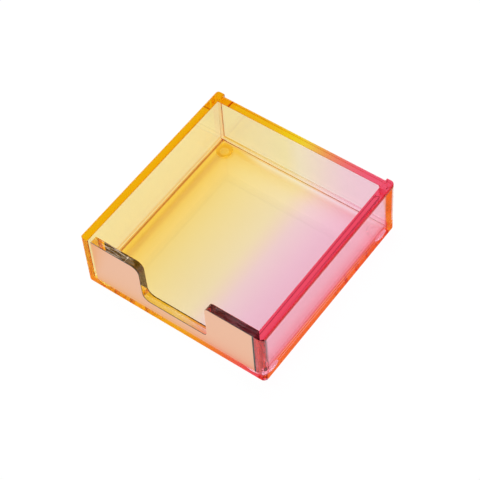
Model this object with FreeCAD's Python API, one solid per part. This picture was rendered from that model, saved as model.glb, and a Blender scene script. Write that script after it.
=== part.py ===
import FreeCAD, Part
import math
import os

# An open square tray of tinted acrylic sheet for a block of notes, standing on four round feet.
# Millimetres. +Z is up and the finger notch faces -Y.
# The origin lies on the surface that the feet stand on, under the middle of the tray.

# The whole tray, without its feet
tray_width = 95.0
tray_depth = 97.5
body_height = 30.5

# Sheet thicknesses
base_thickness = 4.2
side_thickness = 4.4
back_thickness = 4.4
panel_thickness = 3.7
film_thickness = 0.3

# Edges and seams
corner_radius = 2.2
rim_radius = 1.3
polish_radius = 0.3
back_recess = 0.7
panel_end_gap = 1.7

# The finger notch in the front panel
notch_rim_width = 34.4
notch_floor_width = 33.6
notch_shift = 1.1
sill_height = 5.6
notch_left_radius = 4.0
notch_right_radius = 2.0

# The feet
foot_diameter = 8.0
foot_height = 1.5
foot_skirt = 0.4
foot_flat_diameter = 4.4
foot_inset = 8.0

# Places worked out from the sizes above
half_width = tray_width / 2
half_depth = tray_depth / 2
inner_half_width = half_width - side_thickness
floor_z = foot_height + base_thickness
rim_z = foot_height + body_height
panel_front_y = film_thickness - half_depth
back_face_y = half_depth - back_recess
panel_left_x = panel_end_gap - inner_half_width
sill_z = floor_z + sill_height

SIDES = {"left": -1, "right": 1}
ENDS = {"front": -1, "back": 1}

# The most of a sheet's thickness that one rounded edge may take, and how level an edge has to be
rounding_limit_share = 0.3
level_share = 0.01


def corner_arc(before, corner, after, radius):
    """The start, middle and end of the arc that rounds a corner."""
    arriving = (before - corner).normalize()
    leaving = (after - corner).normalize()
    half_angle = arriving.getAngle(leaving) / 2
    inward = (arriving + leaving).normalize()
    reach = radius / math.tan(half_angle)
    centre = corner + inward * (radius / math.sin(half_angle))
    return corner + arriving * reach, centre - inward * radius, corner + leaving * reach


def outline_face(corners):
    """A flat face from (point, radius) corners, where a radius of 0 is a sharp corner."""
    count = len(corners)
    turns = []
    for i, (corner, radius) in enumerate(corners):
        if radius > 0:
            before = corners[i - 1][0]
            after = corners[(i + 1) % count][0]
            turns.append(corner_arc(before, corner, after, radius))
        else:
            turns.append((corner,))
    edges = []
    for i, turn in enumerate(turns):
        if len(turn) > 1:
            edges.append(Part.Arc(*turn).toShape())
        next_turn = turns[(i + 1) % count]
        edges.append(Part.LineSegment(turn[-1], next_turn[0]).toShape())
    return Part.Face(Part.Wire(edges))


def on_level(edge, z):
    """Whether an edge lies in the level plane at z."""
    box = edge.BoundBox
    slack = polish_radius * level_share
    return abs(box.ZMin - z) < slack and abs(box.ZMax - z) < slack


def on_inner_face(edge):
    """Whether an edge of the front panel bounds its inner face, its lower and upright end edges apart."""
    box = edge.BoundBox
    slack = polish_radius * level_share
    inner_y = panel_front_y + panel_thickness
    return abs(box.YMin - inner_y) < slack and abs(box.YMax - inner_y) < slack and box.ZMin > floor_z + slack


def fitting(radius, thickness):
    """The radius, or as much of it as the sheet's thickness leaves room for."""
    return min(radius, thickness * rounding_limit_share)


def polished(solid, thickness, chosen):
    """The solid with its chosen edges softened."""
    radius = fitting(polish_radius, thickness)
    return solid.makeFillet(radius, [edge for edge in solid.Edges if chosen(edge)])


def base_plate():
    """The sheet under all four walls, with rounded corners and a softened lower edge."""
    corners = []
    for x_side, y_side in ((-1, -1), (1, -1), (1, 1), (-1, 1)):
        point = FreeCAD.Vector(x_side * half_width, y_side * half_depth, foot_height)
        corners.append((point, corner_radius))
    sheet = outline_face(corners).extrude(FreeCAD.Vector(0, 0, base_thickness))
    return polished(sheet, base_thickness, lambda edge: on_level(edge, foot_height))


def side_wall(side):
    """A wall as long as the tray, standing on the base, its outer upright edges and outer upper edge rounded."""
    outer_x = side * half_width
    inner_x = side * inner_half_width
    from_above = [
        (FreeCAD.Vector(outer_x, -half_depth, floor_z), corner_radius),
        (FreeCAD.Vector(outer_x, half_depth, floor_z), corner_radius),
        (FreeCAD.Vector(inner_x, half_depth, floor_z), 0),
        (FreeCAD.Vector(inner_x, -half_depth, floor_z), 0),
    ]
    edge_radius = fitting(rim_radius, side_thickness)
    from_front = [
        (FreeCAD.Vector(outer_x, -half_depth, floor_z), 0),
        (FreeCAD.Vector(outer_x, -half_depth, rim_z), edge_radius),
        (FreeCAD.Vector(inner_x, -half_depth, rim_z), 0),
        (FreeCAD.Vector(inner_x, -half_depth, floor_z), 0),
    ]
    sheet = outline_face(from_above).extrude(FreeCAD.Vector(0, 0, rim_z - floor_z))
    return sheet.common(outline_face(from_front).extrude(FreeCAD.Vector(0, tray_depth, 0)))


def back_wall():
    """The plain wall that closes the back between the side walls, set in a little from their ends."""
    inner_face_y = back_face_y - back_thickness
    edge_radius = fitting(rim_radius, back_thickness)
    from_side = [
        (FreeCAD.Vector(-inner_half_width, inner_face_y, floor_z), 0),
        (FreeCAD.Vector(-inner_half_width, back_face_y, floor_z), 0),
        (FreeCAD.Vector(-inner_half_width, back_face_y, rim_z), edge_radius),
        (FreeCAD.Vector(-inner_half_width, inner_face_y, rim_z), 0),
    ]
    return outline_face(from_side).extrude(FreeCAD.Vector(2 * inner_half_width, 0, 0))


def notched_face(y):
    """The front panel's outline in the upright plane at y, with the finger notch in its top."""
    rim_half = notch_rim_width / 2
    sill_half = notch_floor_width / 2
    corners = [
        (FreeCAD.Vector(panel_left_x, y, floor_z), 0),
        (FreeCAD.Vector(inner_half_width, y, floor_z), 0),
        (FreeCAD.Vector(inner_half_width, y, rim_z), 0),
        (FreeCAD.Vector(notch_shift + rim_half, y, rim_z), notch_right_radius),
        (FreeCAD.Vector(notch_shift + sill_half, y, sill_z), notch_right_radius),
        (FreeCAD.Vector(notch_shift - sill_half, y, sill_z), notch_left_radius),
        (FreeCAD.Vector(notch_shift - rim_half, y, rim_z), notch_left_radius),
        (FreeCAD.Vector(panel_left_x, y, rim_z), 0),
    ]
    return outline_face(corners)


def front_panel():
    """The notched sheet behind the mirror film, cemented to the right wall and short of the left one."""
    sheet = notched_face(panel_front_y).extrude(FreeCAD.Vector(0, panel_thickness, 0))
    return polished(sheet, panel_thickness, on_inner_face)


def mirror_film():
    """The film that covers the front panel's outer face, flush with the ends of the side walls."""
    return notched_face(-half_depth).extrude(FreeCAD.Vector(0, film_thickness, 0))


def foot(x, y):
    """A domed bumper, stuck flat to the base, with a short skirt and a small flat to stand on."""
    rim_radius = foot_diameter / 2
    flat_radius = foot_flat_diameter / 2
    skirt_z = foot_height - foot_skirt
    dome_reach = rim_radius - flat_radius
    dome_radius = (dome_reach ** 2 + skirt_z ** 2) / (2 * skirt_z)
    mid_angle = math.atan2(dome_reach, dome_radius - skirt_z) / 2
    dome_mid = FreeCAD.Vector(
        flat_radius + dome_radius * math.sin(mid_angle),
        0,
        dome_radius * (1 - math.cos(mid_angle)),
    )
    axis_low = FreeCAD.Vector(0, 0, 0)
    axis_high = FreeCAD.Vector(0, 0, foot_height)
    flat_edge = FreeCAD.Vector(flat_radius, 0, 0)
    skirt_low = FreeCAD.Vector(rim_radius, 0, skirt_z)
    skirt_high = FreeCAD.Vector(rim_radius, 0, foot_height)
    profile = Part.Wire([
        Part.LineSegment(axis_low, flat_edge).toShape(),
        Part.Arc(flat_edge, dome_mid, skirt_low).toShape(),
        Part.LineSegment(skirt_low, skirt_high).toShape(),
        Part.LineSegment(skirt_high, axis_high).toShape(),
        Part.LineSegment(axis_high, axis_low).toShape(),
    ])
    full_turn = 360
    dome = Part.Face(profile).revolve(axis_low, FreeCAD.Vector(0, 0, 1), full_turn)
    dome.translate(FreeCAD.Vector(x, y, 0))
    return dome


def feet():
    """One foot under each corner of the base, by name."""
    foot_x = half_width - foot_inset
    foot_y = half_depth - foot_inset
    return {
        f"foot_{end}_{side}": foot(side_sign * foot_x, end_sign * foot_y)
        for end, end_sign in ENDS.items()
        for side, side_sign in SIDES.items()
    }


def save(name, solid):
    """Writes one sub-part, after a look at whether it is one sound solid."""
    sound = solid.isValid() and len(solid.Solids) == 1
    print(f"{name:18s} {'sound' if sound else 'BROKEN'} {solid.Volume / 1000:8.3f} cm3")
    solid.Solids[0].exportStep(f"parts/{name}.step")


os.makedirs("parts", exist_ok=True)
save("base_plate", base_plate())
for side_name, side_sign in SIDES.items():
    save(f"{side_name}_wall", side_wall(side_sign))
save("back_wall", back_wall())
save("front_panel", front_panel())
save("mirror_film", mirror_film())
for foot_name, foot_solid in feet().items():
    save(foot_name, foot_solid)
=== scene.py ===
import math

import bmesh
import bpy
from mathutils import Matrix, Vector

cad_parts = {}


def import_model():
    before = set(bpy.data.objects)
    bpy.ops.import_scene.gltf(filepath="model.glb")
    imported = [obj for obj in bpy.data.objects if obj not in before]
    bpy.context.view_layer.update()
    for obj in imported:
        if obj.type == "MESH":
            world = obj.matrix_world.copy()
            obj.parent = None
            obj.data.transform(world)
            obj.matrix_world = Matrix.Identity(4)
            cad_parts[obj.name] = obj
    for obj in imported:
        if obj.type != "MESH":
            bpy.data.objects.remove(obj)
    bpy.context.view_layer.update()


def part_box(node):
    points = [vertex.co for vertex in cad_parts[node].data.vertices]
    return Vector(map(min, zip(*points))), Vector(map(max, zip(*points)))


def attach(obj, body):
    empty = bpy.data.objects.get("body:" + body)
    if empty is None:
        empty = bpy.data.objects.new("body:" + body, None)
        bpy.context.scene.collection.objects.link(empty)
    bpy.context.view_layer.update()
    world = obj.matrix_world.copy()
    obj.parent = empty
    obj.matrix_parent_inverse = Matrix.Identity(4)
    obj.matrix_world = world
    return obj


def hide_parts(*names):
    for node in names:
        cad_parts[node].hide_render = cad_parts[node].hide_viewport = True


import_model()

# An open memo tray of dyed acrylic sheet with a mirrored, notched front, on four clear feet.
# Metres. +Z is up and the notch faces -Y, as in the frame.
MM = 0.001
AXES = "xyz"

# Places read from the frame
BASE_LOW, BASE_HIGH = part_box("base_plate")
SIDE_LOW, SIDE_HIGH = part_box("left_wall")
BACK_LOW, BACK_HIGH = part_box("back_wall")
PANEL_LOW, PANEL_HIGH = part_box("front_panel")
FOOT_LOW, FOOT_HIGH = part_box("foot_back_right")
HALF_WIDTH, HALF_DEPTH = BASE_HIGH.x, BASE_HIGH.y
UNDERSIDE_Z, FLOOR_Z, RIM_Z = BASE_LOW.z, BASE_HIGH.z, SIDE_HIGH.z
INNER_X = -SIDE_HIGH.x
FOOT_CENTRE = (FOOT_LOW + FOOT_HIGH) / 2
FOOT_RADIUS = (FOOT_HIGH.x - FOOT_LOW.x) / 2

# Rounded corners and edges, the notch and the feet, as on the real sheets
CORNER_RADIUS = 2.2 * MM
RIM_RADIUS = 1.3 * MM
EDGE_RADIUS = 0.3 * MM
INNER_RADIUS = 0.2 * MM
NOTCH_RIM_WIDTH = 34.4 * MM
NOTCH_FLOOR_WIDTH = 33.6 * MM
NOTCH_SHIFT = 1.1 * MM
SILL_HEIGHT = 5.6 * MM
NOTCH_LEFT_RADIUS = 4.0 * MM
NOTCH_RIGHT_RADIUS = 2.0 * MM
FOOT_FLAT_DIAMETER = 4.4 * MM
FOOT_SKIRT = 0.4 * MM

# How far in from the outside the walls are cemented to the base; the rest of the joint is dry.
# By side, where -1 is left and 1 is right.
CEMENT_DEPTH = {-1: 2.7 * MM, 1: 3.7 * MM}
BACK_CEMENT_DEPTH = 2.7 * MM

# The beads of cement along the foot of each wall and up the right inner corner
BEAD = 0.8 * MM
SIDE_BEAD = {-1: 0.5 * MM, 1: 1.8 * MM}

# The left joint's brown line and the painted highlight beside it, a pale line, in from the wall's inner
# face
BROWN_LOW, BROWN_HIGH, PALE_HIGH = 0.45 * MM, 1.20 * MM, 1.8 * MM

# The brown line up the left inner corner, and how far up the wall it fades
JOINT_LINE = 0.3 * MM
JOINT_FADE_SHARE = 0.8

# The dark line along the notch's inner edge, a painted reflection of the film's dark back, and the pale one
# across the panel's left part
SILL_LINE = 0.6 * MM
CROSS_LINE_X, CROSS_LINE = -23.6 * MM, 0.4 * MM

# The brown lines across the tops of the back and left walls, next to their corner
TOP_LINE_X, TOP_LINE_Y, TOP_LINE = -37.7 * MM, 37.7 * MM, 0.7 * MM

# The line where the cement of the right wall ends, in from the outside
STREAK_LOW, STREAK_HIGH = 0.8 * MM, 1.15 * MM

# How far down the right wall's outer rim is painted darker, as shade
RIM_DARK = 1.6 * MM

# How wide a strip at the panel's right end the film shows dark, as on its back
FILM_SHORT = 0.9 * MM

# How strong the marks are: the seams' darkness, and the sawn edges' streaks of painted sheen and highlights
BASE_SEAM, WALL_SEAM, LEFT_TOP_SEAM = 0.9, 0.9, 0.8
PALE_HIGHLIGHT_STREAKS = 1.2
LEFT_STREAKS, CROSS_STREAKS, RIGHT_STREAKS = 1.5, 5, 0.75

# The hairline left between cemented faces, so that no two faces share a plane
HAIR = 0.01 * MM
ARC_STEPS = 10
FADE_STEPS = 6
EDGE_SEGMENTS = 4
FOOT_TURNS = 48
SHARP_ANGLE = 40
FULL_WEIGHT = 100

# How much of a face's normal lies along an axis, at least: on a face square to it, a wall's sawn end,
# the outer part of a rounded rim, a face that looks more that way than not, a top with its rounded
# edges, a face that rises at all, and the face of a bead against its wall
FACING = 0.9
END_FACING = 0.95
RIM_FACING = 0.6
HALF_FACING = 0.5
TOP_FACING = 0.3
RISING = 0.05
STUCK = 0.999


# Shapes

def corner_points(before, corner, after, radius):
    """The points of the arc that rounds one corner of a flat outline."""
    arriving = (before - corner).normalized()
    leaving = (after - corner).normalized()
    half_angle = arriving.angle(leaving) / 2
    centre = corner + (arriving + leaving).normalized() * radius / math.sin(half_angle)
    reach = radius / math.tan(half_angle)
    first = corner + arriving * reach - centre
    last = corner + leaving * reach - centre
    turn = first.angle_signed(last)
    points = []
    for i in range(ARC_STEPS + 1):
        angle = -turn * i / ARC_STEPS
        points.append(centre + Vector((
            first.x * math.cos(angle) - first.y * math.sin(angle),
            first.x * math.sin(angle) + first.y * math.cos(angle),
        )))
    return points


def outline(corners):
    """A flat outline from (x, y, radius) corners, where a radius of 0 is a sharp corner."""
    places = [Vector((x, y)) for x, y, radius in corners]
    points = []
    for i, (x, y, radius) in enumerate(corners):
        if radius > 0:
            after = places[(i + 1) % len(places)]
            points += corner_points(places[i - 1], places[i], after, radius)
        else:
            points.append(places[i])
    return points


def prism(points, axis, low, high):
    """A flat outline swept along an axis, as a bmesh."""
    bm = bmesh.new()
    along = AXES.index(axis)
    verts = []
    for point in points:
        place = [point.x, point.y]
        place.insert(along, low)
        verts.append(bm.verts.new(place))
    step = Vector((0, 0, 0))
    step[along] = high - low
    face = bm.faces.new(verts)
    swept = bmesh.ops.extrude_face_region(bm, geom=[face])["geom"]
    bmesh.ops.translate(bm, vec=step, verts=[v for v in swept if isinstance(v, bmesh.types.BMVert)])
    bmesh.ops.recalc_face_normals(bm, faces=bm.faces)
    return bm


def rounded(bm, radius, chosen):
    """Rounds the chosen edges over."""
    edges = [edge for edge in bm.edges if chosen(*[v.co for v in edge.verts])]
    bmesh.ops.bevel(bm, geom=edges, offset=radius, offset_type="OFFSET", segments=EDGE_SEGMENTS,
                    profile=0.5, affect="EDGES", clamp_overlap=True)


def cut(bm, axis, *places):
    """Divides the faces along planes square to an axis, which moves nothing."""
    direction = Vector((0, 0, 0))
    direction[AXES.index(axis)] = 1
    for place in places:
        bmesh.ops.bisect_plane(bm, geom=bm.verts[:] + bm.edges[:] + bm.faces[:],
                               plane_co=direction * place, plane_no=direction, dist=HAIR / 10)


def mark(bm, name, chosen):
    """Gives each face its share of the named attribute.

    cemented: light passes straight on. seam: a dark line, and along the notch's inner edge a painted
    reflection. sawn: a streaky edge of painted sheen, highlights and golden glow.
    """
    layer = bm.faces.layers.float.new(name)
    for face in bm.faces:
        face[layer] = float(chosen(face.calc_center_median(), face.normal))


def finished(bm, name, slot, node, *materials):
    """The bmesh as a smooth-shaded piece that stands for its node."""
    mesh = bpy.data.meshes.new(name)
    bm.to_mesh(mesh)
    bm.free()
    mesh.polygons.foreach_set("use_smooth", [True] * len(mesh.polygons))
    mesh.set_sharp_from_angle(angle=math.radians(SHARP_ANGLE))
    for material in materials:
        mesh.materials.append(material)
    piece = bpy.data.objects.new(name, mesh)
    bpy.context.scene.collection.objects.link(piece)
    weighted = piece.modifiers.new("flat faces stay flat", "WEIGHTED_NORMAL")
    weighted.keep_sharp = True
    weighted.weight = FULL_WEIGHT
    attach(piece, "root")
    if node:
        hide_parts(node)


# Material nodes

def new_material(name):
    """A material and its emptied node tree."""
    material = bpy.data.materials.new(name)
    return material, nodes_of(material)


def nodes_of(owner):
    """The node tree of a material or world, emptied."""
    owner.use_nodes = True
    owner.node_tree.nodes.clear()
    return owner.node_tree


def add(tree, kind, inputs=(), **settings):
    """A node with its settings made and its inputs set or linked."""
    node = tree.nodes.new(kind)
    for key, value in settings.items():
        setattr(node, key, value)
    for socket, value in dict(inputs).items():
        if isinstance(value, bpy.types.NodeSocket):
            tree.links.new(value, node.inputs[socket])
        else:
            node.inputs[socket].default_value = value
    return node


def calc(tree, operation, *values, clamp=False):
    """The result of one sum."""
    inputs = dict(enumerate(values))
    return add(tree, "ShaderNodeMath", inputs, operation=operation, use_clamp=clamp).outputs[0]


def remap(tree, value, low, high, at_low=0, at_high=1):
    """A value carried from one range to another, and held at its ends."""
    return add(tree, "ShaderNodeMapRange", {
        "Value": value, "From Min": low, "From Max": high, "To Min": at_low, "To Max": at_high,
    }).outputs["Result"]


def ramp(tree, factor, stops):
    """A colour ramp from (place, colour) stops."""
    node = add(tree, "ShaderNodeValToRGB", {0: factor})
    elements = node.color_ramp.elements
    while len(elements) < len(stops):
        elements.new(0.5)
    for element, (place, colour) in zip(elements, stops):
        element.position = place
        element.color = (*colour, 1)
    return node.outputs["Color"]


def mix_colours(tree, factor, first, second):
    """One colour where the factor is 0 and another where it is 1."""
    inputs = {"Factor": factor, 6: first, 7: second}
    return add(tree, "ShaderNodeMix", inputs, data_type="RGBA").outputs[2]


def mix_shaders(tree, factor, first, second):
    """One shader where the factor is 0 and another where it is 1."""
    return add(tree, "ShaderNodeMixShader", {0: factor, 1: first, 2: second}).outputs[0]


def own_place(tree):
    """The point's place in the frame."""
    return add(tree, "ShaderNodeTexCoord").outputs["Object"]


def parts_of(tree, vector):
    """A vector's X, Y and Z."""
    return add(tree, "ShaderNodeSeparateXYZ", {0: vector}).outputs


def across_tray(tree, place):
    """How far across the tray a point lies: 0 at its left side and 1 at its right side."""
    return remap(tree, parts_of(tree, place)["X"], -HALF_WIDTH, HALF_WIDTH)


def share_of(tree, name):
    """A face's share of a named attribute."""
    return add(tree, "ShaderNodeAttribute", attribute_name=name).outputs["Fac"]


def grain(tree, place, stretch, scale):
    """Streaks: noise that is drawn out along an axis."""
    drawn = add(tree, "ShaderNodeMapping", {"Vector": place, "Scale": stretch}).outputs[0]
    inputs = {"Vector": drawn, "Scale": scale, "Detail": GRAIN_DETAIL}
    return add(tree, "ShaderNodeTexNoise", inputs).outputs["Fac"]


def straight_through(tree, joined):
    """1 where light passes straight on: through joined faces, and where it lights what lies behind."""
    light = add(tree, "ShaderNodeLightPath").outputs
    lit = calc(tree, "MAXIMUM", light["Is Shadow Ray"], light["Is Diffuse Ray"])
    return calc(tree, "MAXIMUM", lit, joined)


ACRYLIC_IOR = 1.49

# Streaks drawn out from left to right, or from below to above
LENGTHWISE, UPWARD = (0.12, 1, 1), (1, 1, 0.12)
GRAIN_DETAIL = 3

# The dark line where cement ends, and the painted reflection along the notch's inner edge, from left to
# right
SEAM_STOPS = [
    (0.0, (0.35, 0.022, 0.001)),
    (0.2, (0.35, 0.022, 0.001)),
    (0.25, (0.02, 0.01, 0.01)),
    (0.7, (0.02, 0.01, 0.01)),
    (0.75, (0.12, 0.035, 0.04)),
    (1.0, (0.12, 0.035, 0.04)),
]

# Sawn edges: the painted golden glow of the light they let through, and the streaky veil on them, which is
# painted sheen and highlights
SAWN_PAINTED_GLOW = (1.0, 0.66, 0.06, 1)
VEIL_GRAIN = 1600
VEIL_FROM, VEIL_TO = 0.48, 0.64
VEIL_LOW, VEIL_HIGH = 0.01, 0.30
VEIL_SHEEN_STOPS = [
    (0.0, (1.0, 0.80, 0.60)),
    (0.25, (1.0, 0.80, 0.60)),
    (0.32, (0.80, 0.48, 0.16)),
    (0.5, (0.9, 0.75, 0.60)),
    (0.7, (0.45, 0.26, 0.28)),
    (1.0, (0.40, 0.22, 0.24)),
]

# The side walls' matt front ends
END_STOPS = [(0.0, (1.0, 0.58, 0.05)), (1.0, (0.9, 0.15, 0.12))]
END_MATT = [(0.0, (0.45, 0.45, 0.45)), (0.5, (0, 0, 0)), (0.9, (0.22, 0.22, 0.22))]
END_GRAIN = 900
END_FROM, END_TO = 0.35, 0.65
END_LEAST, END_MOST = 0.5, 1.5

# What the dye takes from light, per metre, in red, green and blue
YELLOW_DYE = (0.5, 10, 135)
PINK_DYE = (1, 61, 48)
MOST_DYE = 200


def dyes(stops):
    """Ramp stops of the absorption colour that takes so much per metre at a density of MOST_DYE."""
    return [(place, tuple(1 - part / MOST_DYE for part in taken)) for place, taken in stops]


# The surface tints and the dye of each material, from left to right
TINTS = [
    (0.0, (0.99, 0.87, 0.83)),
    (0.3, (0.99, 0.92, 1.0)),
    (0.45, (0.99, 0.88, 1.0)),
    (0.58, (0.99, 0.92, 1.0)),
    (0.70, (0.99, 0.95, 1.0)),
    (0.93, (0.99, 0.96, 1.0)),
    (0.95, (0.99, 0.92, 0.95)),
    (1.0, (0.99, 0.92, 0.95)),
]
DYE = dyes([
    (0.0, YELLOW_DYE),
    (0.10, YELLOW_DYE),
    (0.30, (0.6, 15, 135)),
    (0.42, (0.6, 5, 135)),
    (0.50, (0.6, 5, 85)),
    (0.58, (0.8, 21, 70)),
    (0.67, (1, 39, 58)),
    (0.75, (1, 52, 50)),
    (0.85, PINK_DYE),
    (1.0, PINK_DYE),
])
# The right wall's outer rim, painted deeper red as shade
SHADED_RIM_TINTS = [(0.0, (0.99, 0.87, 0.83)), (0.9, (0.92, 0.14, 0.20))]
BASE_TINTS = [
    (0.0, (0.98, 0.87, 0.56)),
    (0.25, (0.98, 0.91, 0.67)),
    (0.50, (0.98, 0.94, 0.86)),
    (0.62, (0.98, 0.90, 0.96)),
    (0.75, (0.98, 0.85, 0.94)),
    (0.84, (0.98, 0.82, 0.90)),
    (0.93, (0.98, 0.70, 0.80)),
    (1.0, (0.98, 0.70, 0.80)),
]
BASE_DYE = dyes([
    (0.0, (0.5, 6, 38)),
    (0.50, (0.5, 7, 38)),
    (0.62, (0.5, 14, 20)),
    (0.80, (0.5, 20, 15)),
    (1.0, (0.5, 22, 15)),
])
CEMENT_TINTS = [
    (0.0, (0.97, 0.80, 0.45)),
    (0.5, (0.97, 0.85, 0.60)),
    (0.7, (0.97, 0.80, 0.75)),
    (1.0, (0.95, 0.70, 0.70)),
]
CEMENT_DYE = dyes([(0.0, (1, 10, 60)), (1.0, (1, 40, 30))])
# The feet's clear tint, golden at the left as painted golden light
BUMPER_TINTS_AND_GLOW = [(0.0, (0.985, 0.92, 0.52)), (0.3, (0.985, 0.92, 0.52)), (0.7, (0.99, 0.98, 0.98))]
BUMPER_CLEAR_SHARE = 0.85

# The film's mirrored front and dark back, whose lighter streaks are painted sheen
FILM_COLOUR = (0.87, 0.51, 0.34, 1)
FILM_SHEEN_GRAIN = 1400
FILM_BACK_AND_SHEEN = [(0.42, (0.06, 0.06, 0.055)), (0.62, (0.11, 0.115, 0.11))]


# Materials

def over_foot(tree, place):
    """1 where the base's underside is stuck to a foot."""
    where = parts_of(tree, place)
    squares = []
    for axis, centre in (("X", FOOT_CENTRE.x), ("Y", FOOT_CENTRE.y)):
        off = calc(tree, "SUBTRACT", calc(tree, "ABSOLUTE", where[axis]), centre)
        squares.append(calc(tree, "POWER", off, 2))
    near = calc(tree, "LESS_THAN", calc(tree, "ADD", *squares), FOOT_RADIUS ** 2)
    low = calc(tree, "LESS_THAN", where["Z"], UNDERSIDE_Z + HAIR)
    return calc(tree, "MULTIPLY", near, low)


def matt_end(tree, place, across, surface, matt_share):
    """The surface under a grain of dyed matt."""
    streaks = remap(tree, grain(tree, place, UPWARD, END_GRAIN), END_FROM, END_TO, END_LEAST, END_MOST)
    share = calc(tree, "MULTIPLY", ramp(tree, across, matt_share), streaks)
    matt = add(tree, "ShaderNodeBsdfDiffuse", {"Color": ramp(tree, across, END_STOPS)}).outputs[0]
    return mix_shaders(tree, share, surface, matt)


def acrylic(name, tints, dye, roughness=0.02, matt_share=(), on_feet=False):
    """Clear sheet whose tint and dye change from left to right, and so may its matt share."""
    material, tree = new_material(name)
    place = own_place(tree)
    across = across_tray(tree, place)
    seam, sawn, joined = (share_of(tree, each) for each in ("seam", "sawn", "cemented"))
    if on_feet:
        joined = calc(tree, "MAXIMUM", joined, over_foot(tree, place))
    tint, dark_line = ramp(tree, across, tints), ramp(tree, across, SEAM_STOPS)
    glass = add(tree, "ShaderNodeBsdfPrincipled", {
        "Base Color": mix_colours(tree, seam, tint, dark_line),
        "Roughness": roughness,
        "IOR": ACRYLIC_IOR,
        "Transmission Weight": 1.0,
    }).outputs[0]
    # A face takes the square root of its base colour, and so does the straight light
    once = add(tree, "ShaderNodeGamma", {"Color": tint, "Gamma": 0.5}).outputs[0]
    # Sawn faces tint the light they let through with a painted golden glow
    edge = mix_colours(tree, calc(tree, "GREATER_THAN", sawn, 0), once, SAWN_PAINTED_GLOW)
    edge = mix_colours(tree, seam, edge, dark_line)
    clear = add(tree, "ShaderNodeBsdfTransparent", {"Color": edge}).outputs[0]
    surface = mix_shaders(tree, straight_through(tree, joined), glass, clear)
    # The streaky veil on sawn faces is painted sheen and highlights
    streaks = grain(tree, place, LENGTHWISE, VEIL_GRAIN)
    veil = remap(tree, streaks, VEIL_FROM, VEIL_TO, VEIL_LOW, VEIL_HIGH)
    matt = add(tree, "ShaderNodeBsdfDiffuse", {"Color": ramp(tree, across, VEIL_SHEEN_STOPS)}).outputs[0]
    surface = mix_shaders(tree, calc(tree, "MULTIPLY", veil, sawn, clamp=True), surface, matt)
    if matt_share:
        surface = matt_end(tree, place, across, surface, matt_share)
    depth = add(tree, "ShaderNodeVolumeAbsorption", {"Color": ramp(tree, across, dye), "Density": MOST_DYE})
    add(tree, "ShaderNodeOutputMaterial", {"Surface": surface, "Volume": depth.outputs[0]})
    return material


def mirror():
    """Satin rose-gold film, dark on its glued side and at its right end, with streaks of painted sheen on
    the dark.
    """
    material, tree = new_material("rose gold mirror")
    front = parts_of(tree, add(tree, "ShaderNodeNewGeometry").outputs["Normal"])["Y"]
    facing_back = calc(tree, "GREATER_THAN", front, -HALF_FACING)
    place = own_place(tree)
    at_end = calc(tree, "GREATER_THAN", parts_of(tree, place)["X"], PANEL_HIGH.x - FILM_SHORT)
    shine = add(tree, "ShaderNodeBsdfPrincipled", {
        "Base Color": FILM_COLOUR,
        "Metallic": 1.0,
        "Roughness": 0.35,
    })
    # Streaks of painted sheen on the film's dark back
    dark = ramp(tree, grain(tree, place, LENGTHWISE, FILM_SHEEN_GRAIN), FILM_BACK_AND_SHEEN)
    back = add(tree, "ShaderNodeBsdfPrincipled", {"Base Color": dark, "Roughness": 0.6})
    bare = calc(tree, "MAXIMUM", facing_back, at_end)
    surface = mix_shaders(tree, bare, shine.outputs[0], back.outputs[0])
    add(tree, "ShaderNodeOutputMaterial", {"Surface": surface})
    return material


def rubber():
    """Clear soft bumper, which shows little more than the tint of the light through it, painted golden at
    the left.
    """
    material, tree = new_material("clear bumper")
    glass = add(tree, "ShaderNodeBsdfPrincipled", {
        "Base Color": (0.98, 0.98, 0.97, 1),
        "Roughness": 0.05,
        "IOR": ACRYLIC_IOR,
        "Transmission Weight": 1.0,
    }).outputs[0]
    across = across_tray(tree, own_place(tree))
    clear = add(tree, "ShaderNodeBsdfTransparent", {"Color": ramp(tree, across, BUMPER_TINTS_AND_GLOW)}).outputs[0]
    straight = straight_through(tree, share_of(tree, "cemented"))
    straight = calc(tree, "MAXIMUM", straight, BUMPER_CLEAR_SHARE)
    add(tree, "ShaderNodeOutputMaterial", {"Surface": mix_shaders(tree, straight, glass, clear)})
    return material


ombre = acrylic("ombre acrylic", TINTS, DYE)
sawn_acrylic = acrylic("sawn ombre acrylic", TINTS, DYE, roughness=0.05, matt_share=END_MATT)
shaded_rim_acrylic = acrylic("outer rim acrylic painted darker", SHADED_RIM_TINTS, DYE)
base_acrylic = acrylic("base acrylic", BASE_TINTS, BASE_DYE, on_feet=True)
cement_acrylic = acrylic("cement", CEMENT_TINTS, CEMENT_DYE)


# Pieces

def level(a, b, z):
    """Whether an edge lies at height z."""
    return abs(a.z - z) < HAIR and abs(b.z - z) < HAIR


def fall(depth, radius):
    """How far a rounded edge lies below its sharp corner, at a depth in from the side."""
    if depth >= radius:
        return 0
    return radius - math.sqrt(radius ** 2 - (radius - depth) ** 2)


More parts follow.
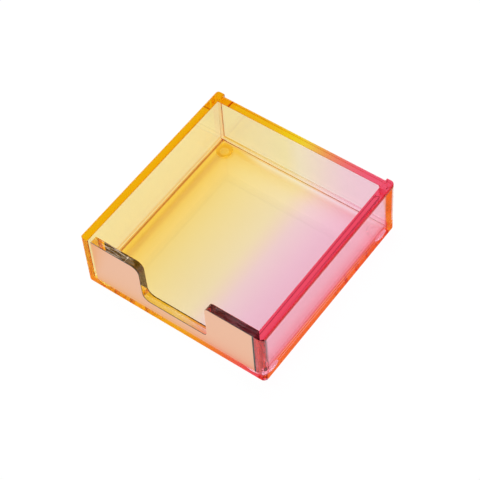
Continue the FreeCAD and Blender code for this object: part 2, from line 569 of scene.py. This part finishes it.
def base_plate():
    """The sheet under the walls, with the footprints of what is cemented on it."""
    signs = ((-1, -1), (1, -1), (1, 1), (-1, 1))
    corners = [(x * HALF_WIDTH, y * HALF_DEPTH, CORNER_RADIUS) for x, y in signs]
    bm = prism(outline(corners), "z", UNDERSIDE_Z, FLOOR_Z - HAIR)
    rounded(bm, EDGE_RADIUS, lambda a, b: level(a, b, UNDERSIDE_Z))
    for side in (-1, 1):
        for x in (INNER_X, HALF_WIDTH - CEMENT_DEPTH[side], INNER_X - SIDE_BEAD[side]):
            cut(bm, "x", side * x)
    cut(bm, "x", PANEL_LOW.x, BROWN_LOW - INNER_X, BROWN_HIGH - INNER_X, PALE_HIGH - INNER_X)
    cut(bm, "y", PANEL_LOW.y, PANEL_HIGH.y, PANEL_HIGH.y + BEAD, BACK_LOW.y - BEAD, BACK_LOW.y,
        BACK_HIGH.y - BACK_CEMENT_DEPTH, BACK_HIGH.y)

    def joined(centre, normal):
        if normal.z < HALF_FACING:
            return False
        side = math.copysign(1, centre.x)
        between = abs(centre.x) < INNER_X
        under_side = abs(centre.x) > HALF_WIDTH - CEMENT_DEPTH[side]
        under_back = between and BACK_HIGH.y - BACK_CEMENT_DEPTH < centre.y < BACK_HIGH.y
        under_panel = PANEL_LOW.y < centre.y < PANEL_HIGH.y and PANEL_LOW.x < centre.x < INNER_X
        inside = between and PANEL_HIGH.y < centre.y < BACK_LOW.y
        edge = abs(centre.x) > INNER_X - SIDE_BEAD[side]
        edge = edge or not PANEL_HIGH.y + BEAD < centre.y < BACK_LOW.y - BEAD
        return under_side or under_back or under_panel or inside and edge

    def in_strip(centre, normal, low, high):
        inside = PANEL_HIGH.y < centre.y < BACK_LOW.y
        return inside and normal.z > HALF_FACING and low < centre.x + INNER_X < high

    mark(bm, "cemented", joined)
    mark(bm, "seam", lambda *where: BASE_SEAM * in_strip(*where, BROWN_LOW, BROWN_HIGH))
    # The pale line beside the brown one is a painted highlight
    mark(bm, "sawn", lambda *where: PALE_HIGHLIGHT_STREAKS * in_strip(*where, BROWN_HIGH, PALE_HIGH))
    finished(bm, "base", "ombre_acrylic", "base_plate", base_acrylic)


def wall_body(side):
    """A side wall, its outer upright edges and its upper edges rounded, as a bmesh."""
    thickness = HALF_WIDTH - INNER_X
    depths = {thickness / 2}
    for i in range(ARC_STEPS + 1):
        share = 1 - math.cos(math.pi / 2 * i / ARC_STEPS)
        depths |= {CORNER_RADIUS * share, RIM_RADIUS * share, thickness - INNER_RADIUS * share}
    bm = bmesh.new()
    columns = []
    for depth in sorted(depths):
        x = side * (HALF_WIDTH - depth)
        y = HALF_DEPTH - fall(depth, CORNER_RADIUS)
        z = RIM_Z - fall(depth, RIM_RADIUS) - fall(thickness - depth, INNER_RADIUS)
        places = ((x, -y, FLOOR_Z + HAIR), (x, -y, z), (x, y, z), (x, y, FLOOR_Z + HAIR))
        columns.append([bm.verts.new(place) for place in places])
    for near, far in zip(columns, columns[1:]):
        for i in range(len(near)):
            bm.faces.new((near[i], near[i - 1], far[i - 1], far[i]))
    bm.faces.new(columns[0])
    bm.faces.new(columns[-1])
    bmesh.ops.recalc_face_normals(bm, faces=bm.faces)
    return bm


def side_wall(side, name, slot):
    """One side wall, cemented to the base and to what stands between the side walls."""
    bm = wall_body(side)
    for depth in (STREAK_LOW, STREAK_HIGH, CEMENT_DEPTH[side]):
        cut(bm, "x", side * (HALF_WIDTH - depth))
    cut(bm, "y", PANEL_LOW.y, PANEL_HIGH.y, PANEL_HIGH.y + BEAD, BACK_LOW.y - BEAD, BACK_LOW.y - JOINT_LINE,
        BACK_LOW.y, BACK_HIGH.y)
    cut(bm, "z", FLOOR_Z + SIDE_BEAD[side])
    for i in range(1, FADE_STEPS):
        cut(bm, "z", FLOOR_Z + (RIM_Z - FLOOR_Z) * i / FADE_STEPS)
    cut(bm, "z", RIM_Z - RIM_DARK)
    if side < 0:
        cut(bm, "y", TOP_LINE_Y, TOP_LINE_Y + TOP_LINE)

    def top_line(centre, normal):
        """The brown line across the left wall's top."""
        return side < 0 and normal.z > TOP_FACING and TOP_LINE_Y < centre.y < TOP_LINE_Y + TOP_LINE

    def streak(centre, normal):
        """The line under the right wall, which shows twice in its top."""
        in_line = STREAK_LOW < HALF_WIDTH - abs(centre.x) < STREAK_HIGH
        return side > 0 and normal.z < -FACING and in_line

    def joint_line(centre, normal):
        """The lines of cement in the left inner corner and behind the front panel's right end."""
        inward = normal.x * side < -FACING
        if inward and side < 0 and BACK_LOW.y - JOINT_LINE < centre.y < BACK_LOW.y:
            return max(0, 1 - (centre.z - FLOOR_Z) / (RIM_Z - FLOOR_Z) / JOINT_FADE_SHARE)
        if inward and side > 0 and PANEL_HIGH.y < centre.y < PANEL_HIGH.y + BEAD:
            return WALL_SEAM
        return 0

    def seam(*where):
        return max(WALL_SEAM * streak(*where), joint_line(*where), LEFT_TOP_SEAM * top_line(*where))

    def joined(centre, normal):
        cemented = abs(centre.x) > HALF_WIDTH - CEMENT_DEPTH[side]
        on_base = normal.z < -HALF_FACING and cemented and not streak(centre, normal)
        inward = normal.x * side < -FACING
        on_back = inward and BACK_LOW.y - (BEAD if side > 0 else 0) < centre.y < BACK_HIGH.y
        on_panel = inward and side > 0 and PANEL_LOW.y < centre.y < PANEL_HIGH.y
        on_bead = inward and centre.z < FLOOR_Z + SIDE_BEAD[side] and PANEL_HIGH.y < centre.y < BACK_LOW.y
        return on_base or on_back or on_panel or on_bead

    mark(bm, "cemented", joined)
    mark(bm, "seam", seam)
    materials = (ombre, sawn_acrylic, shaded_rim_acrylic)
    for face in bm.faces:
        # The top of the right wall's outer face is painted darker, as shade
        on_shaded_rim = side > 0 and face.normal.x > RIM_FACING and face.calc_center_median().z > RIM_Z - RIM_DARK
        if face.normal.y < -END_FACING:
            face.material_index = materials.index(sawn_acrylic)
        elif on_shaded_rim:
            face.material_index = materials.index(shaded_rim_acrylic)
    finished(bm, name, slot, f"{name}_wall", *materials)


def back_wall():
    """The plain wall between the side walls."""
    corners = [
        (BACK_LOW.y, FLOOR_Z + HAIR, 0),
        (BACK_HIGH.y, FLOOR_Z + HAIR, 0),
        (BACK_HIGH.y, RIM_Z, RIM_RADIUS),
        (BACK_LOW.y, RIM_Z, INNER_RADIUS),
    ]
    bm = prism(outline(corners), "x", HAIR - INNER_X, INNER_X - HAIR)
    cut(bm, "y", BACK_HIGH.y - BACK_CEMENT_DEPTH)
    cut(bm, "z", FLOOR_Z + BEAD)
    cut(bm, "x", INNER_X - BEAD, TOP_LINE_X, TOP_LINE_X + TOP_LINE)

    def joined(centre, normal):
        on_base = normal.z < -FACING and centre.y > BACK_HIGH.y - BACK_CEMENT_DEPTH
        on_bead = normal.y < -FACING and (centre.z < FLOOR_Z + BEAD or centre.x > INNER_X - BEAD)
        return on_base or on_bead or abs(normal.x) > FACING

    def top_line(centre, normal):
        return normal.z > TOP_FACING and TOP_LINE_X < centre.x < TOP_LINE_X + TOP_LINE

    mark(bm, "cemented", joined)
    mark(bm, "seam", top_line)
    finished(bm, "back", "ombre_acrylic", "back_wall", ombre)


def notched(y_low, y_high):
    """The front panel's notched outline swept from front to back."""
    left, right, rim, sill = PANEL_LOW.x, PANEL_HIGH.x - HAIR, PANEL_HIGH.z, FLOOR_Z + SILL_HEIGHT
    rim_half, sill_half = NOTCH_RIM_WIDTH / 2, NOTCH_FLOOR_WIDTH / 2
    corners = [
        (left, FLOOR_Z + HAIR, 0),
        (right, FLOOR_Z + HAIR, 0),
        (right, rim, 0),
        (NOTCH_SHIFT + rim_half, rim, NOTCH_RIGHT_RADIUS),
        (NOTCH_SHIFT + sill_half, sill, NOTCH_RIGHT_RADIUS),
        (NOTCH_SHIFT - sill_half, sill, NOTCH_LEFT_RADIUS),
        (NOTCH_SHIFT - rim_half, rim, NOTCH_LEFT_RADIUS),
        (left, rim, 0),
    ]
    return prism(outline(corners), "y", y_low, y_high)


def front_panel():
    """The notched sheet behind the film."""
    bm = notched(PANEL_LOW.y + HAIR, PANEL_HIGH.y)

    def inner_edge(a, b):
        on_face = abs(a.y - PANEL_HIGH.y) < HAIR and abs(b.y - PANEL_HIGH.y) < HAIR
        return on_face and min(a.z, b.z) > FLOOR_Z + 2 * HAIR

    rounded(bm, EDGE_RADIUS, inner_edge)
    cut(bm, "z", FLOOR_Z + BEAD)
    cut(bm, "y", PANEL_HIGH.y - SILL_LINE)
    cut(bm, "x", CROSS_LINE_X, CROSS_LINE_X + CROSS_LINE)

    def left_end(centre, normal):
        return normal.x < -FACING and centre.x < PANEL_LOW.x + 2 * HAIR

    def joined(centre, normal):
        on_base = normal.z < -FACING and centre.z < FLOOR_Z + 2 * HAIR
        on_wall = normal.x > FACING and centre.x > INNER_X - 2 * HAIR
        on_bead = normal.y > FACING and centre.z < FLOOR_Z + BEAD
        return on_base or on_wall or on_bead or left_end(centre, normal) or normal.y < -FACING

    def sill_painted_reflection(centre, normal):
        """The inner edge of the notch's floor, painted dark as a reflection of the film's dark back."""
        low = centre.z < FLOOR_Z + SILL_HEIGHT + NOTCH_LEFT_RADIUS
        return low and PANEL_HIGH.y - SILL_LINE < centre.y and normal.z > RISING

    def streaks(centre, normal):
        """How strongly the sawn edges show painted sheen and highlights: a pale line divides the left part
        of the top.
        """
        edge = abs(normal.y) < HALF_FACING and not joined(centre, normal) or left_end(centre, normal)
        if sill_painted_reflection(centre, normal) or not edge:
            return 0
        if centre.x < CROSS_LINE_X:
            return LEFT_STREAKS
        if centre.x < CROSS_LINE_X + CROSS_LINE:
            return CROSS_STREAKS
        return RIGHT_STREAKS

    mark(bm, "cemented", joined)
    mark(bm, "sawn", streaks)
    mark(bm, "seam", sill_painted_reflection)
    finished(bm, "front", "ombre_acrylic", "front_panel", ombre)


def mirror_film():
    """The film on the front panel's outer face."""
    bm = notched(-HALF_DEPTH, PANEL_LOW.y - HAIR)
    finished(bm, "film", "rose_gold_mirror", "mirror_film", mirror())


def ring(bm, x, y, radius, z):
    """The vertices of one turn, or the one vertex on the axis."""
    if radius == 0:
        return [bm.verts.new((x, y, z))]
    angles = [2 * math.pi * i / FOOT_TURNS for i in range(FOOT_TURNS)]
    return [bm.verts.new((x + radius * math.cos(a), y + radius * math.sin(a), z)) for a in angles]


def foot(material, x, y, name):
    """One domed bumper, turned about its own axis."""
    flat_radius = FOOT_FLAT_DIAMETER / 2
    skirt_z = UNDERSIDE_Z - FOOT_SKIRT
    reach = FOOT_RADIUS - flat_radius
    dome_radius = (reach ** 2 + skirt_z ** 2) / (2 * skirt_z)
    full = math.atan2(reach, dome_radius - skirt_z)
    profile = [(0, 0)]
    for i in range(ARC_STEPS + 1):
        angle = full * i / ARC_STEPS
        profile.append((flat_radius + dome_radius * math.sin(angle), dome_radius * (1 - math.cos(angle))))
    profile += [(FOOT_RADIUS, UNDERSIDE_Z - HAIR), (0, UNDERSIDE_Z - HAIR)]
    bm = bmesh.new()
    rings = [ring(bm, x, y, radius, z) for radius, z in profile]
    for low, high in zip(rings, rings[1:]):
        for i in range(FOOT_TURNS):
            j = (i + 1) % FOOT_TURNS
            if len(low) == 1:
                bm.faces.new((low[0], high[i], high[j]))
            elif len(high) == 1:
                bm.faces.new((low[i], high[0], low[j]))
            else:
                bm.faces.new((low[i], high[i], high[j], low[j]))
    bmesh.ops.recalc_face_normals(bm, faces=bm.faces)
    mark(bm, "cemented", lambda centre, normal: normal.z > FACING)
    finished(bm, name, "clear_bumper", name, material)


def bead(name, axis, corner, arms, low, high, mitred=True, size=BEAD, swollen=False):
    """A hollow or swollen bead of cement in an inner corner, swept along an axis."""
    u, v = arms
    section = [(0, 0)]
    for i in range(ARC_STEPS + 1):
        angle = math.pi / 2 * i / ARC_STEPS
        if swollen:
            section.append((size * math.cos(angle), size * math.sin(angle)))
        else:
            section.append((size * (1 - math.sin(angle)), size * (1 - math.cos(angle))))
    bm = bmesh.new()
    ends = []
    for end, inward in ((low, 1), (high, -1)):
        verts = []
        for a, b in section:
            place = corner + u * (a + HAIR) + v * (b + HAIR)
            place[AXES.index(axis)] = end + inward * (HAIR + (a if mitred else 0))
            verts.append(bm.verts.new(place))
        ends.append(verts)
        bm.faces.new(verts)
    for i in range(len(section)):
        j = (i + 1) % len(section)
        bm.faces.new((ends[0][i], ends[0][j], ends[1][j], ends[1][i]))
    bmesh.ops.recalc_face_normals(bm, faces=bm.faces)
    mark(bm, "cemented", lambda centre, normal: min(normal.dot(u), normal.dot(v)) < -STUCK)
    finished(bm, name, "ombre_acrylic", None, cement_acrylic)


def beads():
    """The cement along the foot of the four walls and up the right inner corner at the back."""
    right, back, up = Vector((1, 0, 0)), Vector((0, 1, 0)), Vector((0, 0, 1))
    front_y, back_y = PANEL_HIGH.y, BACK_LOW.y
    for name, side in (("left", -1), ("right", 1)):
        bead(f"bead_{name}", "y", Vector((side * INNER_X, 0, FLOOR_Z)), (-side * right, up),
             front_y, back_y, size=SIDE_BEAD[side], swollen=side < 0)
    bead("bead_back_right", "z", Vector((INNER_X, back_y, 0)), (-right, -back),
         FLOOR_Z + SIDE_BEAD[1], RIM_Z - BEAD, mitred=False)
    bead("bead_back", "x", Vector((0, back_y, FLOOR_Z)), (-back, up), -INNER_X, INNER_X)
    bead("bead_front", "x", Vector((0, front_y, FLOOR_Z)), (back, up), -INNER_X, INNER_X)


base_plate()
side_wall(-1, "left", "yellow_acrylic")
side_wall(1, "right", "pink_acrylic")
back_wall()
front_panel()
mirror_film()
beads()
bumper = rubber()
for end, y_sign in (("front", -1), ("back", 1)):
    for side, x_sign in (("left", -1), ("right", 1)):
        foot(bumper, x_sign * FOOT_CENTRE.x, y_sign * FOOT_CENTRE.y, f"foot_{end}_{side}")


# The room: floor, light and camera

FLOOR_SIZE = 1.5
WHITE = (1, 1, 1, 1)
FLOOR_WHITE = (0.95, 0.95, 0.95, 1)

# How much of the floor's brightness takes no shadow, under the tray and outside it, and how far past
# the tray's outline it changes
UNDER_GLOW, OPEN_GLOW = 0.05, 0.95
GLOW_INSIDE, GLOW_OUTSIDE = -7 * MM, -3 * MM

# The floor's brightness as it is seen or mirrored, and, painted darker as shade, through the tray: up to
# its back and behind it
GLOW_PLAIN, SHADED_GLOW_THROUGH, SHADED_GLOW_BEHIND = 1.02, 0.94, 0.87
BEHIND_REACH = 8 * MM

# The coloured light that the tray's edges throw on the floor next to it, from left to right, as
# mirrored and as seen through the tray
EDGE_GLOW = [
    (0.0, (1.0, 0.62, 0.10)),
    (0.50, (1.0, 0.65, 0.03)),
    (0.62, (1.0, 0.38, 0.06)),
    (0.72, (1.0, 0.22, 0.12)),
    (1.0, (1.0, 0.16, 0.12)),
]
UNDER_EDGE_GLOW = [
    (0.0, (1.0, 0.72, 0.12)),
    (0.50, (1.0, 0.65, 0.03)),
    (0.62, (1.0, 0.40, 0.06)),
    (0.72, (1.0, 0.25, 0.14)),
    (0.90, (1.0, 0.28, 0.22)),
    (0.94, (1.0, 0.80, 0.82)),
    (1.0, (1.0, 0.80, 0.82)),
]

# How far the glow is shifted to the right, how softly it ends, and where it ends at the front and back
GLOW_SHIFT = 3 * MM
GLOW_REACH = 6 * MM
FRONT_GLOW_LOW, FRONT_GLOW_HIGH = 2 * MM, 4.5 * MM

# How far the glow seen through the tray is shifted in Y, at the tray's left end and further right
LEFT_X, MIDDLE_X = -35 * MM, -20 * MM
LEFT_SHIFT, MIDDLE_SHIFT = -4 * MM, -10 * MM

# The golden light past the front left and back right corners, and how its borders slant
CORNER_GLOW = (1.0, 0.62, 0.08, 1)
SLANT_FRONT, SLANT_BACK = 0.86, 1.156

# The sky's grey from the nadir (0) to the zenith (1), as mirrored and as seen through the acrylic
SKY_MIRRORED = [
    (0.0, (1, 1, 1)),
    (0.62, (1, 1, 1)),
    (0.75, (0.03, 0.03, 0.03)),
    (1.0, (0.02, 0.02, 0.02)),
]
SKY_THROUGH = [(0.0, (1, 1, 1)), (1.0, (1, 1, 1))]

LAMP_PLACE = Vector((-0.25, 0.05, 0.7))
LAMP_SIZE = 0.5
LAMP_POWER = 5.5

# How many faces in a row a ray may cross
BOUNCES = 48


def floor_material():
    """Plain white, which keeps a soft shadow and, next to the tray, the glow of its edges."""
    material, tree = new_material("white floor")
    light = add(tree, "ShaderNodeLightPath").outputs
    where = parts_of(tree, own_place(tree))

    def beyond(axis, middle, half):
        """How far a point lies outside a strip."""
        off = calc(tree, "ABSOLUTE", calc(tree, "SUBTRACT", where[axis], middle))
        return calc(tree, "SUBTRACT", off, half)

    def outside(shift_x, shift_y):
        """How far a point lies outside the tray's outline, once that is shifted."""
        return calc(tree, "MAXIMUM", beyond("X", shift_x, HALF_WIDTH), beyond("Y", shift_y, HALF_DEPTH))

    def past(x, y, slope_x, slope_y):
        """How far a point lies past a slanted line through (x, y)."""
        in_x = calc(tree, "MULTIPLY_ADD", where["X"], slope_x, -x * slope_x)
        in_y = calc(tree, "MULTIPLY_ADD", where["Y"], slope_y, -y * slope_y)
        return calc(tree, "ADD", in_x, in_y)

    across = remap(tree, where["X"], -HALF_WIDTH, HALF_WIDTH)
    slanted = past(-INNER_X, -HALF_DEPTH, -1, SLANT_FRONT)
    in_front = calc(tree, "MINIMUM", slanted, past(0, -HALF_DEPTH, 0, -1))
    slanted = past(HALF_WIDTH, BACK_LOW.y, -SLANT_BACK, 1)
    at_back = calc(tree, "MINIMUM", slanted, past(HALF_WIDTH, 0, 1, 0))
    golden = remap(tree, calc(tree, "MAXIMUM", in_front, at_back), 0, MM)
    beside = remap(tree, beyond("X", GLOW_SHIFT, HALF_WIDTH), 0, GLOW_REACH)
    before = remap(tree, beyond("Y", 0, HALF_DEPTH), FRONT_GLOW_LOW, FRONT_GLOW_HIGH)
    off = calc(tree, "MAXIMUM", beside, before)
    mirrored = mix_colours(tree, off, ramp(tree, across, EDGE_GLOW), WHITE)
    mirrored = mix_colours(tree, golden, mirrored, CORNER_GLOW)
    shift_y = remap(tree, where["X"], LEFT_X, MIDDLE_X, LEFT_SHIFT, MIDDLE_SHIFT)
    off = remap(tree, outside(GLOW_SHIFT, shift_y), 0, GLOW_REACH)
    through = mix_colours(tree, off, ramp(tree, across, UNDER_EDGE_GLOW), WHITE)
    colour = mix_colours(tree, light["Is Transmission Ray"], mirrored, through)
    colour = mix_colours(tree, light["Is Camera Ray"], colour, WHITE)
    # Seen through the tray, the floor is painted darker as shade, and more so behind it
    behind = remap(tree, where["Y"], HALF_DEPTH, HALF_DEPTH + BEHIND_REACH, SHADED_GLOW_THROUGH, SHADED_GLOW_BEHIND)
    strength = add(tree, "ShaderNodeMix", {0: light["Is Transmission Ray"], 2: GLOW_PLAIN, 3: behind},
                   data_type="FLOAT").outputs[0]
    matt = add(tree, "ShaderNodeBsdfDiffuse", {"Color": FLOOR_WHITE}).outputs[0]
    glow = add(tree, "ShaderNodeEmission", {"Color": colour, "Strength": strength}).outputs[0]
    seen = calc(tree, "MAXIMUM", light["Is Camera Ray"], light["Is Transmission Ray"])
    seen = calc(tree, "MAXIMUM", seen, light["Is Glossy Ray"])
    share = remap(tree, outside(0, 0), GLOW_INSIDE, GLOW_OUTSIDE, UNDER_GLOW, OPEN_GLOW)
    surface = mix_shaders(tree, calc(tree, "MULTIPLY", seen, share), matt, glow)
    add(tree, "ShaderNodeOutputMaterial", {"Surface": surface})
    return material


def floor():
    """The plane that the tray stands on."""
    bm = bmesh.new()
    bmesh.ops.create_grid(bm, x_segments=1, y_segments=1, size=FLOOR_SIZE)
    mesh = bpy.data.meshes.new("floor")
    bm.to_mesh(mesh)
    bm.free()
    mesh.materials.append(floor_material())
    plane = bpy.data.objects.new("floor", mesh)
    bpy.context.scene.collection.objects.link(plane)


def world():
    """A room that is white all round and, as mirrored, dark overhead."""
    room = bpy.data.worlds.new("room")
    bpy.context.scene.world = room
    tree = nodes_of(room)
    rise = parts_of(tree, add(tree, "ShaderNodeTexCoord").outputs["Generated"])["Z"]
    light = add(tree, "ShaderNodeLightPath").outputs
    height = remap(tree, rise, -1, 1)
    shade = mix_colours(tree, light["Is Transmission Ray"], ramp(tree, height, SKY_MIRRORED),
                        ramp(tree, height, SKY_THROUGH))
    sky = add(tree, "ShaderNodeBackground", {"Color": shade, "Strength": 1.0})
    add(tree, "ShaderNodeOutputWorld", {"Surface": sky.outputs[0]})


def lamp():
    """A soft lamp above the tray's left side, which shows in no reflection."""
    data = bpy.data.lights.new("soft lamp", "AREA")
    data.shape = "DISK"
    data.size = LAMP_SIZE
    data.energy = LAMP_POWER
    holder = bpy.data.objects.new("soft lamp", data)
    bpy.context.scene.collection.objects.link(holder)
    holder.location = LAMP_PLACE
    holder.rotation_euler = (-LAMP_PLACE).to_track_quat("-Z", "Y").to_euler()
    holder.visible_glossy = False
    holder.visible_transmission = False


def camera():
    """The photograph's view: azimuth, elevation, roll and distance found from the tray's straight edges."""
    azimuth, elevation, roll = math.radians(40.372), math.radians(53.594), math.radians(-5.321)
    distance = 736.7 * MM
    target = Vector((2.48, -3.58, 16.0)) * MM
    frame_pixels, focal_pixels, sensor = 480, 1716.6, 36
    back = Vector((
        math.sin(azimuth) * math.cos(elevation),
        -math.cos(azimuth) * math.cos(elevation),
        math.sin(elevation),
    ))
    right = Vector((math.cos(azimuth), math.sin(azimuth), 0))
    up = back.cross(right)
    across = right * math.cos(roll) + up * math.sin(roll)
    upward = up * math.cos(roll) - right * math.sin(roll)
    data = bpy.data.cameras.new("camera")
    data.sensor_width = sensor
    data.lens = sensor * focal_pixels / frame_pixels
    data.clip_start, data.clip_end = 0.01, 10
    holder = bpy.data.objects.new("camera", data)
    bpy.context.scene.collection.objects.link(holder)
    place = target + back * distance
    holder.matrix_world = Matrix((
        (across.x, upward.x, back.x, place.x),
        (across.y, upward.y, back.y, place.y),
        (across.z, upward.z, back.z, place.z),
        (0, 0, 0, 1),
    ))
    bpy.context.scene.camera = holder


floor()
world()
lamp()
camera()
scene = bpy.context.scene
scene.view_settings.view_transform = "Standard"
scene.cycles.max_bounces = BOUNCES
scene.cycles.glossy_bounces = BOUNCES
scene.cycles.transmission_bounces = BOUNCES
scene.cycles.transparent_max_bounces = BOUNCES

bpy.context.view_layer.update()
